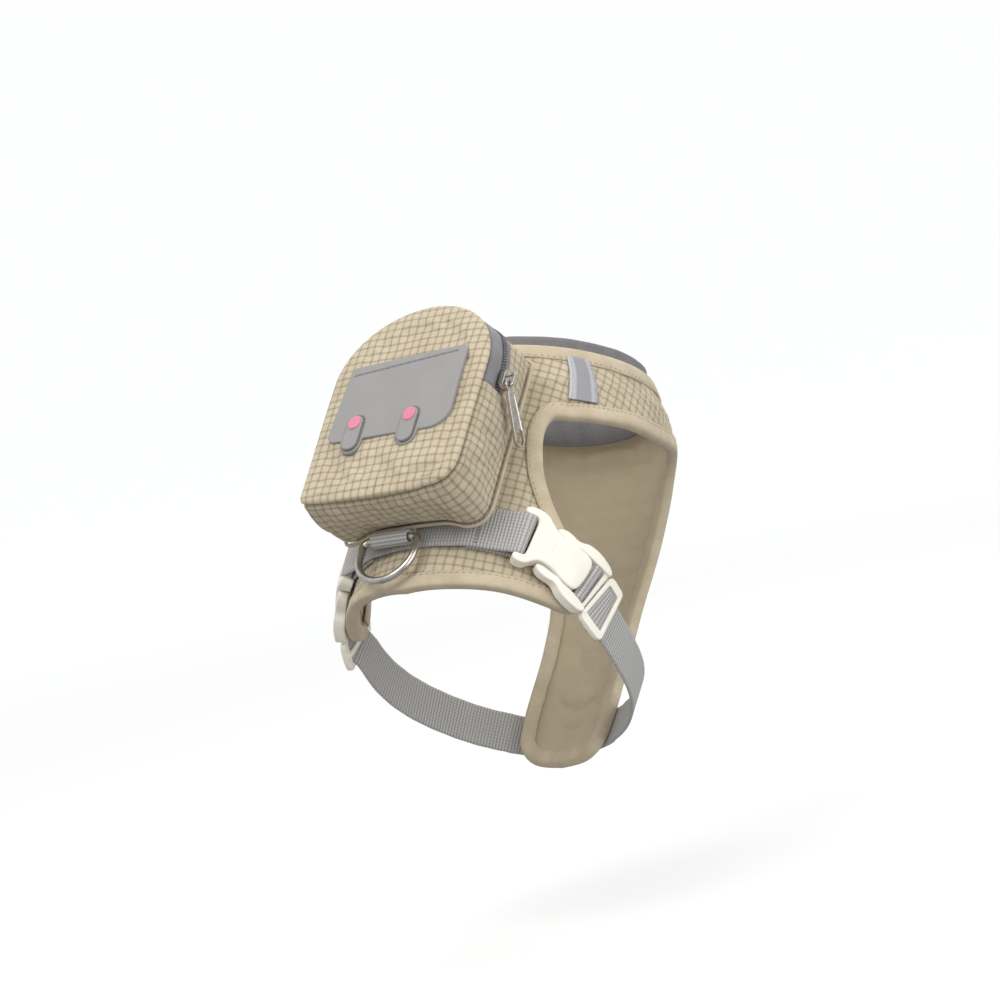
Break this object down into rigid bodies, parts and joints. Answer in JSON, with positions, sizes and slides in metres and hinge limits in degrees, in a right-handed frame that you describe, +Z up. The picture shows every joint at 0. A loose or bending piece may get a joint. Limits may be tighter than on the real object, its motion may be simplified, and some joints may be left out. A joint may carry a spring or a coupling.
{
  "type": "dog harness backpack",
  "caption": "Small dog's harness vest in its worn form, with a zipped mini backpack on the back, a leash ring and side-release buckles on a belly strap.",
  "frame": {"origin": "on the mid-line of the back panel's inner face, under the pack, where the harness rests on the wearer's back", "axes": "+X to the wearer's right, +Y ahead towards the head, +Z up; the back line is pitched 45 degrees as on a sitting dog"},
  "size_m": [0.1328, 0.1976, 0.2097],
  "materials": {
    "checked_cloth": "woven check, tan with olive brown lines",
    "tan_cloth": "plain weave",
    "tan_tape": "plain folded tape",
    "grey_tape": "plain woven tape",
    "grey_coil": "nylon coil",
    "silver_tape": "reflective tape",
    "webbing": "ribbed webbing",
    "ivory_plastic": "moulded, satin gloss",
    "nickel": "bright nickel",
    "grey_rubber": "matte moulded",
    "pink_rubber": "matte moulded"
  },
  "bodies": {
    "harness": {"back_panel": "checked_cloth", "chest_panel": "tan_cloth", "rear_binding": "tan_tape", "leg_binding_right": "tan_tape", "leg_binding_left": "tan_tape", "neck_binding": "tan_tape", "neck_lining": "grey_tape", "reflective_strip_right": "silver_tape", "reflective_strip_left": "silver_tape", "back_strap": "webbing", "belly_strap": "webbing", "buckle_female_right": "ivory_plastic", "buckle_female_left": "ivory_plastic", "buckle_male_right": "ivory_plastic", "buckle_male_left": "ivory_plastic", "strap_slider_right": "ivory_plastic", "strap_slider_left": "ivory_plastic", "ring_keeper": "webbing", "pack_gusset": "checked_cloth", "pack_gusset_top": "checked_cloth", "pack_front": "checked_cloth", "pack_base": "checked_cloth", "pack_piping": "tan_tape", "zip_tape_back": "grey_tape", "zip_tape_front": "grey_tape", "zip_coil": "grey_coil", "zip_slider": "nickel", "pack_patch": "grey_rubber", "patch_tab_right": "grey_rubber", "patch_tab_left": "grey_rubber", "patch_button_right": "pink_rubber", "patch_button_left": "pink_rubber"},
    "leash_ring": {"d_ring": "nickel"},
    "pull": {"zip_pull": "nickel"}
  },
  "joints": [
    {"name": "ring_lift", "type": "hinge", "parent": "harness", "child": "leash_ring", "pos_m": [-0.0083, -0.04214, -0.03111], "axis": [-1, 0, 0], "range_deg": [0, 78]},
    {"name": "pull_swing", "type": "hinge", "parent": "harness", "child": "pull", "pos_m": [0.04285, -0.01049, 0.02381], "axis": [1, 0, 0], "range_deg": [-20, 40]}
  ]
}
